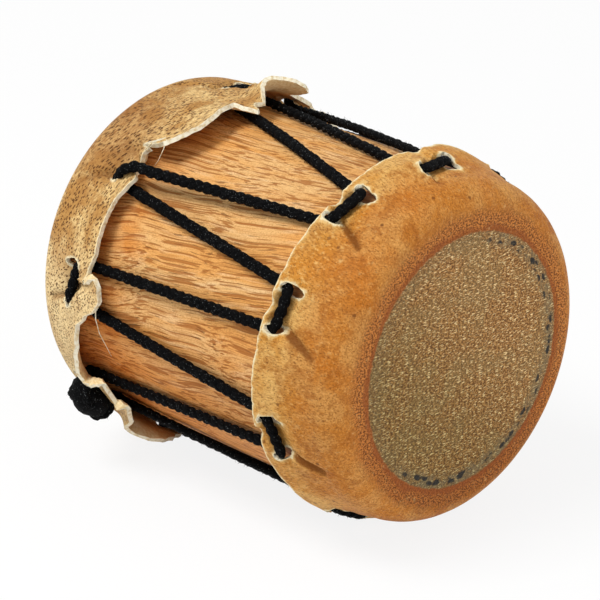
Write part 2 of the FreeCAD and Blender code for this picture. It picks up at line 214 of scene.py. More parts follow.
def finish(tree, colour, bump_height, bump_depth, roughness, specular=0.1):
    """Sets a colour, a roughness and a bump in metres on the material's shader."""
    shader = tree.nodes["Principled BSDF"]
    tree.links.new(colour, shader.inputs["Base Color"])
    shader.inputs["Specular IOR Level"].default_value = specular
    shader.inputs["Roughness"].default_value = roughness
    bump = node(tree, "ShaderNodeBump", {"Height": bump_height, "Distance": bump_depth,
                                         "Strength": 1.0})
    tree.links.new(bump.outputs[0], shader.inputs["Normal"])


# Where the shell's colour changes, in millimetres from the middle towards the front head, and
# up from the axis. The last two mark painted shade: the wood under the front skin and the shell's lower
# side.
BACK_STAIN, OILY_PATCH, SHADE_UNDER_FRONT_SKIN, LOW_SHADE = (10, -22), (-20, -34), (42.0, 44.5), (28, -40)

wood, tree = new_finish("oiled_wood")
place = place_in_mm(tree, rotation=(0, math.radians(7.5), math.radians(-4.5)))
sway = node(tree, "ShaderNodeTexNoise",
            {"Vector": stretched(tree, place, (0.03, 0.045, 0.045)), "Scale": 1.0,
             "Detail": 1.0}).outputs["Color"]
sway = vectors(tree, "SUBTRACT", sway, (0.5, 0.5, 0.5))
place = vectors(tree, "ADD", stretched(tree, sway, (0, 6, 6)), place)
bands = grain_noise(tree, place, (0.012, 0.11, 0.11), detail=3, distortion=0.3)
lines = grain_noise(tree, place, (0.017, 1.25, 1.25), detail=1.6)
fine_lines = grain_noise(tree, place, (0.03, 2.7, 2.7), detail=1.0)
pores = grain_noise(tree, place, (0.13, 1.9, 1.9), detail=0.5)
speckle = grain_noise(tree, place, (1.7, 2.6, 2.6), detail=2, roughness=0.75)
pale = grain_noise(tree, place, (0.05, 0.5, 0.5), detail=2)
colour = mixed(tree, between(tree, bands, 0.38, 0.62), (0.83, 0.505, 0.205), (0.79, 0.385, 0.11))
colour = tinted(tree, colour, between(tree, pale, 0.5, 0.7), 0.5, (0.90, 0.63, 0.34))
colour = tinted(tree, colour, between(tree, speckle, 0.47, 0.62), 0.5, (0.48, 0.19, 0.045))
colour = tinted(tree, colour, between(tree, fine_lines, 0.50, 0.62), 0.45, (0.44, 0.155, 0.03))
colour = tinted(tree, colour, between(tree, lines, 0.535, 0.60), 0.75, (0.36, 0.115, 0.02))
colour = tinted(tree, colour, between(tree, pores, 0.69, 0.73), 0.6, (0.13, 0.04, 0.01))
straight = place_in_mm(tree)
along = node(tree, "ShaderNodeSeparateXYZ", {0: straight})
patch = grain_noise(tree, straight, (0.05, 0.09, 0.09), detail=2)
near_back = between(tree, total(tree, along.outputs["X"], product(tree, patch, 60)),
                    *BACK_STAIN)
stain = mixed(tree, between(tree, bands, 0.40, 0.55), (0.94, 0.60, 0.24), (0.80, 0.40, 0.13))
colour = tinted(tree, colour, near_back, 0.5, stain, "MULTIPLY")
orange = product(tree, between(tree, patch, 0.50, 0.62),
                 between(tree, along.outputs["X"], *OILY_PATCH))
colour = tinted(tree, colour, orange, 0.6, (0.86, 0.52, 0.16), "MULTIPLY")
# Painted shade: the shell darker and redder towards its bottom, as if in shadow.
shaded_low = between(tree, along.outputs["Z"], *LOW_SHADE)
colour = tinted(tree, colour, shaded_low, 0.6, (0.85, 0.60, 0.42), "MULTIPLY")
# Painted shade: the wood under the front skin, seen through the slits and at the hem, made dark brown
# as if in shadow.
shade_under_front = between(tree, along.outputs["X"], *SHADE_UNDER_FRONT_SKIN)
colour = tinted(tree, colour, shade_under_front, 0.8, (0.42, 0.17, 0.055))
relief = arithmetic(tree, "SUBTRACT", product(tree, fine_lines, 0.6),
                    between(tree, lines, 0.5, 0.66))
finish(tree, colour, relief, 0.00016, 0.6)
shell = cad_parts["shell"]
shell.data.materials.clear()
shell.data.materials.append(wood)


# ---------------------------------------------------------------- the front head
# A thin goatskin, soaked, drawn over the front rim and dried there. Every stitch presses a
# pleat down on the shell between two slits, which the cord has pulled open to a teardrop;
# its knife-cut hem and the lips of the slits show the skin's cream-coloured inside.
HALF_LENGTH = 70.0
SHELL_RADIUS, CORD, GAP, HEM_SLACK = 56.3, 3.5, 0.35, 0.45
HALF_SPREAD = 6.3
SKIRT_RADIUS = 60.0
TABLE_CLEARANCE = 0.1
CUT_WIDTH, LIP_WIDTH, LIP_HEIGHT, CREASE_DEPTH, UNEVENNESS = 1.25, 0.9, 0.6, 1.3, 0.45

# Stitches: angle in degrees from the top towards the near side, depth in millimetres behind the
# face, and how much deeper the second slit lies. Hems: angle, depth, and flare outwards.
FRONT_STITCHES = [
    (-5, 17.5, -3), (28.3, 23.5, 2), (65.3, 25.5, 1), (107.3, 26, -3), (152, 22, -1),
    (198, 23, 1), (238, 24, 0), (277, 22.5, -1), (315, 23, 1),
]
FRONT_HEM = [
    (-5, 27, 0.3), (10, 28, 0), (30, 27.5, 0), (50, 28.8, 0), (70, 30, 0), (90, 31.3, 0),
    (108, 31.8, 0), (130, 29, 0.2), (155, 27.5, 0), (175, 29, 0), (198, 28.5, 0),
    (218, 30, 0.3), (240, 29.5, 0), (260, 28.5, 0.3), (280, 28, 0), (298, 29.5, 0.4),
    (318, 28.5, 0), (336, 30.5, 0.8),
]
# Shape of a pleat at depths from the line of the slits: its share of the full depth, and how
# wide it is flat and open, in shares of half a stitch's spread.
PLEAT = [(-14, 0.0, 0.1, 0.9), (-8, 0.25, 0.35, 1.5), (-2.3, 1, 0.75, 1.8), (2, 1, 0.6, 1.1),
         (3.5, 0.6, 0.1, 0.6), (6, 0.4, 0.1, 0.6), (14, 0.0, 0.1, 0.6)]
# How far a slit has opened towards the face and to either side, at a stitch's upper and lower
# end. Creases run from there towards the face: their end of the stitch, how many degrees they
# turn round the drum, their length and their strength.
OPENED = {-1: (5.8, 1.9), 1: (2.6, 1.45)}
CREASE_WIDTH, CREASE_WIDENS, CREASE_START = 0.85, 1.3, 1.5
LEAST_HEM, FULL_HEIGHT = 4.5, 3.5
CREASES = [(-1, -3.0, 9.0, 0.4), (1, 11.0, 21.0, 1.35), (1, 3.0, 12.0, 0.6)]


def eased(share):
    share = min(max(share, 0), 1)
    return share * share * (3 - 2 * share)


def wrapped(table, angle, column):
    """A table's value at an angle, eased between its entries right round the drum."""
    rows = sorted((row[0] % 360, row[column]) for row in table)
    rows = [(rows[-1][0] - 360, rows[-1][1])] + rows + [(rows[0][0] + 360, rows[0][1])]
    angle %= 360
    for (a0, v0), (a1, v1) in zip(rows, rows[1:]):
        if a0 <= angle <= a1:
            return v0 + (v1 - v0) * eased((angle - a0) / (a1 - a0))


def steady(table, value, column):
    """A table's value along its first column, straight between its entries."""
    if value <= table[0][0]:
        return table[0][column]
    for low, high in zip(table, table[1:]):
        if value <= high[0]:
            return low[column] + (high[column] - low[column]) * (value - low[0]) / (high[0] - low[0])
    return table[-1][column]


def apart(angle, centre):
    return (angle - centre + 180) % 360 - 180


def around(x, radius, angle):
    """The point in metres at a place along the axis, a radius and an angle from the top."""
    turned = math.radians(angle)
    return AXIS + Vector((x, -radius * math.sin(turned), radius * math.cos(turned))) * MM


def outward(angle):
    """The direction away from the axis at an angle."""
    return (around(0, SKIRT_RADIUS, angle) - AXIS).normalized()


def slit_outline(end, torn):
    """One slit's corners as (depth, sideways) from where the cord comes out, convex."""
    length, half = OPENED[end]
    right_side = [(-length, 0), (-0.86 * length, 0.5 * half), (-0.5 * length, 0.86 * half),
                  (-0.6, half), (1.2, half * 0.95), (2.3, half * 0.4)]
    if torn:
        right_side = [(2.5, 0), (torn - 10, 1.5), (torn, 2.4)]
    return right_side + [(along, -wide) for along, wide in reversed(right_side) if wide]


def outline_distance(outline, u, v):
    """How far a point lies outside a convex outline; below 0 inside it."""
    nearest, inside = 1e9, True
    for (u0, v0), (u1, v1) in zip(outline, outline[1:] + outline[:1]):
        du, dv = u1 - u0, v1 - v0
        share = min(max(((u - u0) * du + (v - v0) * dv) / (du * du + dv * dv), 0), 1)
        nearest = min(nearest, math.hypot(u - u0 - du * share, v - v0 - dv * share))
        if (u - u0) * dv - (v - v0) * du < 0:
            inside = False
    return -nearest if inside else nearest


class Head:
    """One rawhide head: its sizes in millimetres and its outer surface."""

    def __init__(self, side, skin, rim, shoulder, stitches, hem, swell=0, swell_length=1,
                 no_pleat=None, torn=None):
        self.side, self.skin = side, skin
        self.stitches, self.hem, self.no_pleat = stitches, hem, no_pleat
        self.swell, self.swell_length = swell, swell_length
        top = SHELL_RADIUS + swell
        arc = (shoulder ** 2 + (top - rim) ** 2) / (2 * (top - rim))
        self.bend, self.centre = arc + GAP + skin, top - arc
        self.shoulder_depth = skin + shoulder
        self.edge = SHELL_RADIUS + CORD + 2 * GAP + HEM_SLACK + skin
        self.slits = []
        for index, (angle, depth, skew) in enumerate(stitches):
            for end in (-1, 1):
                self.slits.append((angle + end * HALF_SPREAD, depth + end * skew / 2,
                                   slit_outline(end, (torn or {}).get((index, end)))))

    def wood(self, depth):
        """Outside of the shell under the skirt."""
        past = depth - self.shoulder_depth
        return SHELL_RADIUS + self.swell * eased((self.swell_length - past) / self.swell_length)

    def hem_depth(self, angle):
        wavy = noise.noise(Vector((angle * 0.22, self.side * 7.0, 3.1))) * 0.5
        ragged = noise.noise(Vector((angle * 0.9, self.side * 5.0, 1.7))) * 0.3
        return wrapped(self.hem, angle, 1) + wavy + ragged

    def lean(self, angle):
        """How far the hem's edge leans round the drum, in degrees."""
        return wrapped(self.hem, angle, 3) if len(self.hem[0]) > 3 else 0

    def slit_distance(self, depth, angle):
        """How far the nearest slit's edge is, where one is near."""
        nearest = 9.0
        for slit_angle, slit_depth, outline in self.slits:
            sideways = math.radians(apart(angle, slit_angle)) * SKIRT_RADIUS
            if abs(sideways) < 9:
                nearest = min(nearest, outline_distance(outline, depth - slit_depth, sideways))
        return nearest

    def creased(self, depth, angle):
        """How deep the creases that run from the slits towards the face are here, 0 to 1."""
        deepest = 0
        for index, (centre, slit_depth, skew) in enumerate(self.stitches):
            if index == self.no_pleat or abs(apart(angle, centre)) > 25:
                continue
            for end, turned, length, strength in CREASES:
                past = (slit_depth + end * skew / 2 - CREASE_START - depth) / length
                line = end * HALF_SPREAD * 0.75 + turned * max(past, 0) ** 1.4
                away = (math.radians(apart(angle, centre) - line) * SKIRT_RADIUS
                        / (CREASE_WIDTH + CREASE_WIDENS * max(past, 0)))
                fade = eased((past + 0.15) / 0.25) * eased((1.1 - past) / 0.9)
                deepest = max(deepest, strength * fade * math.exp(-away * away))
        return deepest

    def radius(self, depth, angle):
        """Outer radius of the skirt, which climbs over the cord and dips at each pleat."""
        slit_depth = min(wrapped([(a, d) for a, d, _ in self.slits], angle, 1),
                         wrapped(self.hem, angle, 1) - LEAST_HEM)
        hem_depth = max(self.hem_depth(angle), slit_depth + LEAST_HEM - 0.5)
        top = self.centre + self.bend
        full_depth = slit_depth + FULL_HEIGHT
        climb = min((depth - self.shoulder_depth) / (full_depth - self.shoulder_depth), 1)
        loose = max((depth - slit_depth) / (hem_depth - slit_depth), 0)
        radius = top + (self.edge - top) * climb + wrapped(self.hem, angle, 2) * loose ** 3
        offset = depth - slit_depth
        share, flat, wide = (steady(PLEAT, offset, column) for column in (1, 2, 3))
        nearest = min(abs(apart(angle, stitch[0])) / HALF_SPREAD
                      for index, stitch in enumerate(self.stitches) if index != self.no_pleat)
        pleat = eased((wide - nearest) / (wide - flat))
        floor = self.wood(depth) + GAP + self.skin
        radius -= (radius - floor) * share * pleat
        lip = math.exp(-max(self.slit_distance(depth, angle), 0) / LIP_WIDTH)
        radius += lip * LIP_HEIGHT - self.creased(depth, angle) * CREASE_DEPTH
        turned = math.radians(angle)
        here = Vector((depth * 0.09 + self.side * 9.0, math.cos(turned) * 5, math.sin(turned) * 5))
        settled = eased((depth - self.shoulder_depth) / 6)
        return radius + settled * noise.noise(here) * UNEVENNESS


def head_mesh(name, head, columns=480, skirt_rows=42, shoulder_rows=7, face_rows=9):
    """The head's outer surface with its slits cut; it carries how near each place lies to a cut edge of
    the skin, and how deep its creases are, for their painted shade.
    """
    mesh_maker = bmesh.new()
    cut_layer = mesh_maker.verts.layers.float.new("cut")
    crease_shade_layer = mesh_maker.verts.layers.float.new("crease_shade")
    lift = math.acos(min(head.shoulder_depth / head.bend, 1))
    rows = []

    def level_ring(depth, radius):
        rows.append([mesh_maker.verts.new(around(head.side * (HALF_LENGTH - depth), radius,
                                                 360 * k / columns)) for k in range(columns)])

    for row in range(face_rows):
        level_ring(0, (head.centre + head.bend * math.sin(lift)) * (row + 1) / (face_rows + 1))
    for row in range(shoulder_rows):
        bent = lift + (math.pi / 2 - lift) * row / shoulder_rows
        level_ring(head.shoulder_depth - head.bend * math.cos(bent),
                   head.centre + head.bend * math.sin(bent))
    for row in range(skirt_rows + 1):
        ring = []
        for k in range(columns):
            angle = 360 * k / columns
            hem = head.hem_depth(angle)
            share = row / skirt_rows
            depth = head.shoulder_depth + (hem - head.shoulder_depth) * share
            leaning = head.lean(angle) * eased((share - 0.45) / 0.5)
            vertex = mesh_maker.verts.new(around(head.side * (HALF_LENGTH - depth),
                                                 head.radius(depth, angle), angle + leaning))
            vertex.co.z = max(vertex.co.z, TABLE_CLEARANCE * MM)
            from_slit, from_hem = max(head.slit_distance(depth, angle), 0), hem - depth
            vertex[cut_layer] = max(math.exp(-from_slit / CUT_WIDTH), math.exp(-from_hem / LIP_WIDTH))
            vertex[crease_shade_layer] = head.creased(depth, angle - 0.8)
            ring.append(vertex)
        rows.append(ring)
    middle = mesh_maker.verts.new(around(head.side * HALF_LENGTH, 0, 0))
    faces = [(middle, rows[0][k - 1], rows[0][k]) for k in range(columns)]
    for ring, after in zip(rows, rows[1:]):
        faces += [(ring[k - 1], after[k - 1], after[k], ring[k]) for k in range(columns)]
    for corners in faces:
        mesh_maker.faces.new(corners if head.side > 0 else corners[::-1])
    for angle, depth, outline in head.slits:
        cut_slit(mesh_maker, head, angle, depth, outline)
    mesh_maker.normal_update()
    mesh = bpy.data.meshes.new(name)
    mesh_maker.to_mesh(mesh)
    mesh_maker.free()
    return mesh


def cut_slit(mesh_maker, head, angle, depth, outline):
    """Cuts the mesh along a slit's outline, square to the skin, and takes the inside out."""
    centre = around(head.side * (HALF_LENGTH - depth), SKIRT_RADIUS, angle)
    inward = Vector((-head.side, 0, 0))
    sideways, upward = outward(angle + 90), outward(angle)
    reach = max(abs(u) for u, _ in outline) + 3

    def flat(point):
        away = (point - centre) / MM
        return away.dot(inward), away.dot(sideways), away.dot(upward)

    local = []
    for face in mesh_maker.faces:
        u, v, w = flat(face.calc_center_median())
        if abs(u) < reach and abs(v) < 5 and abs(w) < 15:
            local.append(face)
    geometry = set(local)
    for face in local:
        geometry.update(face.edges)
        geometry.update(face.verts)
    geometry = list(geometry)
    for (u0, v0), (u1, v1) in zip(outline, outline[1:] + outline[:1]):
        corner = centre + (inward * u0 + sideways * v0) * MM
        square = inward * (v1 - v0) - sideways * (u1 - u0)
        geometry = bmesh.ops.bisect_plane(mesh_maker, geom=geometry, dist=1e-7, plane_co=corner,
                                          plane_no=square.normalized())["geom"]
    inside = []
    for face in geometry:
        if isinstance(face, bmesh.types.BMFace):
            u, v, _ = flat(face.calc_center_median())
            if outline_distance(outline, u, v) < 0:
                inside.append(face)
    bmesh.ops.delete(mesh_maker, geom=inside, context="FACES")


def thickened(name, mesh, thickness, outside, cut_edge, flesh_side):
    """The skin's surface given its thickness inwards, with its own finish on edges and inside."""
    piece = in_scene(name, mesh)
    for skin_finish in (outside, cut_edge, flesh_side):
        mesh.materials.append(skin_finish)
    solid = piece.modifiers.new("thickness", "SOLIDIFY")
    solid.thickness = thickness * MM
    solid.offset = -1
    solid.use_rim = True
    solid.material_offset_rim = 1
    solid.material_offset = 2
    evaluated = piece.evaluated_get(bpy.context.evaluated_depsgraph_get())
    made = bpy.data.meshes.new_from_object(evaluated)
    made.name = name
    piece.modifiers.clear()
    piece.data = made
    made.shade_smooth()
    made.set_sharp_from_angle(angle=math.radians(48))
    return piece


def cells(tree, place):
    """How far the nearest of many scattered specks is, as a socket."""
    return node(tree, "ShaderNodeTexVoronoi", {"Vector": place, "Scale": 1.0}).outputs["Distance"]


def painted(tree, name):
    """A value that the mesh carries under a name, as a socket."""
    return node(tree, "ShaderNodeAttribute", attribute_name=name).outputs["Fac"]


front = Head(side=1, skin=1.3, rim=49.4, shoulder=9.0, stitches=FRONT_STITCHES, hem=FRONT_HEM)

# Where the face changes with the distance from its middle: the bare disc inside the shell's bore
# and its darker edge, the ring of dark spots on it, the dark line round it and the rim's stain.
DISC_EDGE, DISC_DARKENS, HAZE_STARTS = (44.2, 43.4), (38.0, 43.5), (36.5, 40.5)
SPOTS_START, SPOTS_END = (38.6, 39.6), (42.4, 41.4)
BORE_LINE, RIM_STAIN = (49.2, 47.4), (56.5, 50.8)
DISC_ACROSS, DISC_UP = 1.2, -1.3

goatskin, tree = new_finish("front_goatskin")
place = place_in_mm(tree)
split = node(tree, "ShaderNodeSeparateXYZ", {0: place})
along_drum, across_drum, up_drum = (split.outputs[axis] for axis in "XYZ")
flat_place = node(tree, "ShaderNodeCombineXYZ",
                  {"Y": arithmetic(tree, "SUBTRACT", across_drum, DISC_ACROSS),
                   "Z": arithmetic(tree, "SUBTRACT", up_drum, DISC_UP)})
radius = node(tree, "ShaderNodeVectorMath", {0: flat_place.outputs[0]},
              operation="LENGTH").outputs["Value"]
mottle = grain_noise(tree, place, 0.07, detail=4, roughness=0.55, distortion=0.4)
blush = grain_noise(tree, place, (0.045, 0.06, 0.06), detail=2)
mottle_fine = grain_noise(tree, place, 0.45, detail=3)
pebble = grain_noise(tree, place, 1.7, detail=3, roughness=0.75)
grain = grain_noise(tree, place, (1.1, 2.4, 2.4), detail=2, roughness=0.6)
colour = mixed(tree, between(tree, mottle, 0.40, 0.60), (0.73, 0.425, 0.13), (0.62, 0.275, 0.045))
colour = tinted(tree, colour, between(tree, blush, 0.50, 0.66), 0.6, (0.62, 0.225, 0.022))
colour = tinted(tree, colour, between(tree, mottle_fine, 0.45, 0.7), 0.4, (0.78, 0.44, 0.13))
browned = grain_noise(tree, place, 0.16, detail=4, roughness=0.65, distortion=0.6)
colour = tinted(tree, colour, between(tree, browned, 0.48, 0.66), 0.6, (0.42, 0.15, 0.02))
hairline = grain_noise(tree, place, (0.55, 1.5, 1.5), detail=2.5, roughness=0.6)
colour = tinted(tree, colour, between(tree, hairline, 0.48, 0.66), 0.55, (0.33, 0.12, 0.018))
colour = tinted(tree, colour, between(tree, grain, 0.56, 0.68), 0.75, (0.16, 0.05, 0.008))
colour = tinted(tree, colour, between(tree, hairline, 0.43, 0.28), 0.55, (0.90, 0.60, 0.22))
few_specks = total(tree, cells(tree, stretched(tree, place, 0.14)), product(tree, pebble, 0.12))
few = between(tree, few_specks, 0.165, 0.12)
colour = tinted(tree, colour, few, 0.7, (0.12, 0.035, 0.01))
warmer = between(tree, along_drum, 46, 60)
colour = tinted(tree, colour, warmer, 0.8, (0.86, 0.66, 0.50), "MULTIPLY")
worn = product(tree, warmer, between(tree, pebble, 0.50, 0.60))
colour = tinted(tree, colour, worn, 0.4, (0.30, 0.10, 0.018))
# Painted shade: the skin darkened brown along the creases that run from the slits.
crease_shade = between(tree, total(tree, painted(tree, "crease_shade"), product(tree, grain, 0.5)), 0.30, 1.15)
colour = tinted(tree, colour, crease_shade, 0.88, (0.20, 0.062, 0.008))
rim_blur = total(tree, radius, product(tree, mottle, 7.0))
rim = between(tree, rim_blur, *RIM_STAIN)
rim_grain = grain_noise(tree, place, (1.3, 1.25, 1.75), detail=2.5, roughness=0.7)
rim_colour = mixed(tree, between(tree, rim_grain, 0.44, 0.56), (0.60, 0.215, 0.045),
                   (0.115, 0.029, 0.005))
rim_low = between(tree, up_drum, -5, -50)
rim_colour = tinted(tree, rim_colour, rim_low, 0.8, (0.68, 0.58, 0.55), "MULTIPLY")
colour = tinted(tree, colour, rim, 0.9, rim_colour)
colour = tinted(tree, colour, between(tree, rim_blur, *BORE_LINE), 0.7, (0.25, 0.062, 0.012))
flecks = grain_noise(tree, place, (1.0, 0.5, 3.1), detail=1.2, roughness=0.5)
coarse = grain_noise(tree, place, (1.0, 1.1, 1.6), detail=2.5, roughness=0.7)
disc = mixed(tree, between(tree, coarse, 0.42, 0.56), (0.50, 0.26, 0.082), (0.155, 0.062, 0.016))
disc = tinted(tree, disc, between(tree, mottle, 0.45, 0.6), 0.5,
              mixed(tree, 0.5, disc, (0.26, 0.20, 0.085)))
disc = tinted(tree, disc, between(tree, pebble, 0.56, 0.64), 0.9, (0.05, 0.02, 0.006))
disc = tinted(tree, disc, between(tree, flecks, 0.615, 0.65), 0.95, (0.95, 0.72, 0.36))
low_left = between(tree, total(tree, up_drum, across_drum), 30, -46)
disc = tinted(tree, disc, low_left, 0.75, (0.60, 0.66, 0.56), "MULTIPLY")
disc_edge = between(tree, total(tree, radius, product(tree, mottle_fine, 5.0)), *DISC_DARKENS)
disc = tinted(tree, disc, disc_edge, 0.6, mixed(tree, 0.35, disc, (0.15, 0.125, 0.065)))
turned = arithmetic(tree, "ARCTAN2", up_drum, across_drum)
round_ring = node(tree, "ShaderNodeCombineXYZ",
                  {"X": product(tree, turned, 9.5), "Y": product(tree, radius, 0.36)})
ragged = total(tree, cells(tree, round_ring.outputs[0]), product(tree, pebble, 0.35))
in_ring = product(tree, between(tree, radius, *SPOTS_START), between(tree, radius, *SPOTS_END))
spots = product(tree, in_ring, between(tree, ragged, 0.60, 0.48))
leaning = arithmetic(tree, "SUBTRACT", across_drum, product(tree, up_drum, 0.1))
far_side = between(tree, leaning, 4, 10)
low_side = between(tree, up_drum, -26, -34)
marked_part = arithmetic(tree, "MAXIMUM", far_side, low_side)
spots = product(tree, spots, marked_part)
haze = product(tree, between(tree, radius, *HAZE_STARTS), marked_part)
haze = product(tree, haze, between(tree, mottle_fine, 0.35, 0.6))
disc = tinted(tree, disc, haze, 0.35, (0.14, 0.14, 0.09))
disc = tinted(tree, disc, spots, 0.92, (0.012, 0.014, 0.016))
on_disc = between(tree, total(tree, radius, product(tree, mottle_fine, 1.6)), *DISC_EDGE)
colour = mixed(tree, on_disc, colour, disc)
torn_edge = painted(tree, "cut")
for patchy, reach in ((pebble, 0.7), (mottle_fine, 1.5)):
    shifted = product(tree, arithmetic(tree, "SUBTRACT", patchy, 0.5), reach)
    torn_edge = total(tree, torn_edge, shifted)
colour = tinted(tree, colour, between(tree, torn_edge, 0.20, 0.55), 0.6, (0.78, 0.52, 0.20))
colour = mixed(tree, between(tree, torn_edge, 0.52, 0.85), colour, (0.86, 0.74, 0.46))
relief = total(tree, coarse, mottle_fine)
finish(tree, colour, relief, 0.0005, 0.55)

cream, tree = new_finish("cut_edge_of_rawhide")
place = place_in_mm(tree)
wobble = grain_noise(tree, place, 0.7, detail=3)
colour = mixed(tree, between(tree, wobble, 0.4, 0.75), (0.90, 0.84, 0.66), (0.66, 0.50, 0.26))
finish(tree, colour, wobble, 0.0003, 0.6)

# The skin's flesh side: its own pale tan, painted lighter still to stand in for light on inner faces
# that lie in shade.
flesh_painted_lighter, tree = new_finish("flesh_side_painted_lighter")
place = place_in_mm(tree)
fibrous = grain_noise(tree, place, (0.5, 1.2, 1.2), detail=3, roughness=0.6)
colour = mixed(tree, between(tree, fibrous, 0.35, 0.65), (0.94, 0.77, 0.47), (0.80, 0.58, 0.28))
finish(tree, colour, fibrous, 0.0003, 0.6)

front_skin = thickened("front_skin", head_mesh("front_skin_surface", front), front.skin,
                       goatskin, cream, flesh_painted_lighter)
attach(front_skin, "root")
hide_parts("front_head")


# ---------------------------------------------------------------- the back head
# A thicker piece of the same hide with the hair scraped off and its follicles left as dark
# streaky specks. It was trimmed roughly: its hem is torn at one slit and stands up in flaps.
BACK_STITCHES = [
    (-9, 24.5, 2), (40.5, 25, -1), (83, 20, -3), (125, 17, 0), (163, 22, 1),
    (208, 22, 0), (247, 21, 1), (284, 22.5, -1), (318, 22, 1),
]
KNOT_STITCH = 3
# The fourth number here is how far the hem's edge leans round the drum, in degrees.
BACK_HEM = [
    (-48, 31, 0.8, 0), (-38, 30.5, 0.6, 0), (-30, 31.0, 0.5, 0), (-25.4, 33.0, 0.5, 0),
    (-23, 40.0, 1.9, 0), (-20.6, 45.4, 3.9, 0), (-18, 46.8, 5.4, 0), (-14.5, 45.2, 6.5, 0),
    (-11, 43.0, 6.6, 0), (-8, 42.0, 6.8, 0), (-5, 42.0, 6.3, 0), (-3, 43.5, 5.0, 0),
    (-1.3, 46.0, 2.6, 0), (0, 48.4, 0.7, 0), (1.6, 46.5, 0.6, 0), (3.2, 47.5, 0.6, 0),
    (5.0, 52.6, 0.4, 0), (6.4, 47.5, 1.2, 0), (8.2, 44.0, 2.6, 0), (13.5, 44.8, 3.4, 0),
    (19, 46.0, 3.5, 0), (22.7, 45.4, 3.4, 0), (26.8, 43.2, 3.3, 0), (29.2, 41.0, 3.2, 0),
    (31.6, 39.2, 3.2, 0), (33.8, 38.0, 3.0, -0.6), (36.6, 31, 0.5, 0), (40, 30, 0, 0),
    (43, 33, 0, 0), (45, 34.6, 0.3, 0), (48, 32.5, 0, 0), (56, 30, 0, 0), (70.5, 30.2, 0, 0),
    (77, 28.8, 0.2, 0), (80.3, 27.0, 0.2, 1.2), (81.6, 29.5, 0.8, -0.8), (83, 33.6, 1.6, -5.0),
    (84.8, 35.9, 1.4, -4.4), (87, 36.2, 0.9, -2.6), (89.5, 33.2, 0.4, -1.0), (92, 27.2, 0.3, 0),
    (96, 23.8, 0.8, 0), (101.6, 23.2, 2.0, 0), (106.5, 22.4, 3.0, 0), (112, 21.4, 3.5, 0),
    (116.0, 22.6, 3.5, 0), (118.4, 26.0, 3.4, -2.0), (120.2, 30.4, 3.2, -5.6),
    (122.2, 33.6, 2.9, -8.8), (124.6, 34.6, 2.7, -6.4), (127.6, 34.6, 2.6, -4.2),
    (130.2, 40.6, 2.5, -9.4), (132.4, 38.0, 3.4, -5.0), (135, 29.0, 4.3, 0), (139, 28.0, 4.3, 0),
    (143, 32.5, 3.7, 0), (146.5, 34.8, 2.4, 0), (151, 34.0, 1.0, 0), (156, 30.5, 0.4, 0),
    (162, 27.6, 0.2, 0), (170, 27.5, 0, 0), (182, 31, 0, 0), (205, 29, 0, 0), (226, 33, 0.5, 0),
    (247, 28.5, 0, 0), (266, 33.5, 0.6, 0), (285, 29.5, 0, 0), (302, 34, 0.5, 0),
]
# The slit that has torn towards the hem: its stitch and end, and how far.
TORN_SLIT = {(1, -1): 20}
# Middles of two patches in millimetres from the middle of the drum: a pale patch of painted light, and
# a darker handled one.
LIT_PATCH, HANDLED_PATCH = (-60, -60, -12), (-62, -30, 50)

back = Head(side=-1, skin=1.5, rim=52, shoulder=8.0, stitches=BACK_STITCHES, hem=BACK_HEM,
            swell=2.6, swell_length=12.5, no_pleat=KNOT_STITCH, torn=TORN_SLIT)


def near_patch(tree, place, middle, reach, mottle, ragged):
    """1 near a patch's middle and 0 beyond its reach, with an edge broken up by the mottling."""
    away = node(tree, "ShaderNodeVectorMath", {0: place, 1: middle}, operation="DISTANCE")
    return between(tree, total(tree, away.outputs["Value"], product(tree, mottle, ragged)), *reach)


hide, tree = new_finish("back_rawhide")
place = place_in_mm(tree)
hair_way = place_in_mm(tree, rotation=(math.radians(10), math.radians(62), math.radians(-40)))
mottle = grain_noise(tree, place, 0.075, detail=4, distortion=0.4)
mottle_fine = grain_noise(tree, place, 0.6, detail=3)
grit = grain_noise(tree, place, 2.6, detail=2, roughness=0.7)
dense = grain_noise(tree, place, 0.09, detail=2)
colour = mixed(tree, between(tree, mottle, 0.40, 0.60), (0.84, 0.59, 0.255), (0.52, 0.275, 0.08))
colour = tinted(tree, colour, between(tree, mottle_fine, 0.42, 0.62), 0.45, (0.46, 0.22, 0.06))
colour = tinted(tree, colour, between(tree, grit, 0.50, 0.64), 0.6, (0.28, 0.12, 0.03))
# Painted light: a broad pale patch low on the near side of the back skin, about 100 degrees from the
# top, standing in for light falling there.
painted_light_patch = near_patch(tree, place, LIT_PATCH, (54, 26), mottle, 24)
colour = tinted(tree, colour, painted_light_patch, 0.6, (0.95, 0.75, 0.41))
follicle = total(tree, cells(tree, stretched(tree, hair_way, (0.46, 1.3, 1.3))),
                 product(tree, grit, 0.15))
dot = between(tree, follicle, 0.45, 0.35)
strength = between(tree, dense, 0.18, 0.50)
streaks = grain_noise(tree, hair_way, (0.20, 1.5, 1.5), detail=2, roughness=0.6)
streak = between(tree, streaks, 0.50, 0.64)
colour = tinted(tree, colour, streak, 0.6, (0.32, 0.14, 0.035))
colour = tinted(tree, colour, product(tree, dot, strength), 0.9, (0.10, 0.035, 0.01))
handled = near_patch(tree, place, HANDLED_PATCH, (44, 22), mottle, 30)
colour = tinted(tree, colour, handled, 0.9, (0.68, 0.55, 0.46), "MULTIPLY")
# Painted shade: the back skin darkened brown along its creases.
colour = tinted(tree, colour, painted(tree, "crease_shade"), 0.5, (0.26, 0.11, 0.03))
torn_edge = total(tree, painted(tree, "cut"),
                  product(tree, arithmetic(tree, "SUBTRACT", grit, 0.5), 0.8))
colour = mixed(tree, between(tree, torn_edge, 0.45, 0.85), colour, (0.84, 0.72, 0.46))
relief = total(tree, mottle_fine, product(tree, dot, -0.8))
finish(tree, colour, relief, 0.0003, 0.6)

back_skin = thickened("back_skin", head_mesh("back_skin_surface", back), back.skin, hide, cream,
                      flesh_painted_lighter)

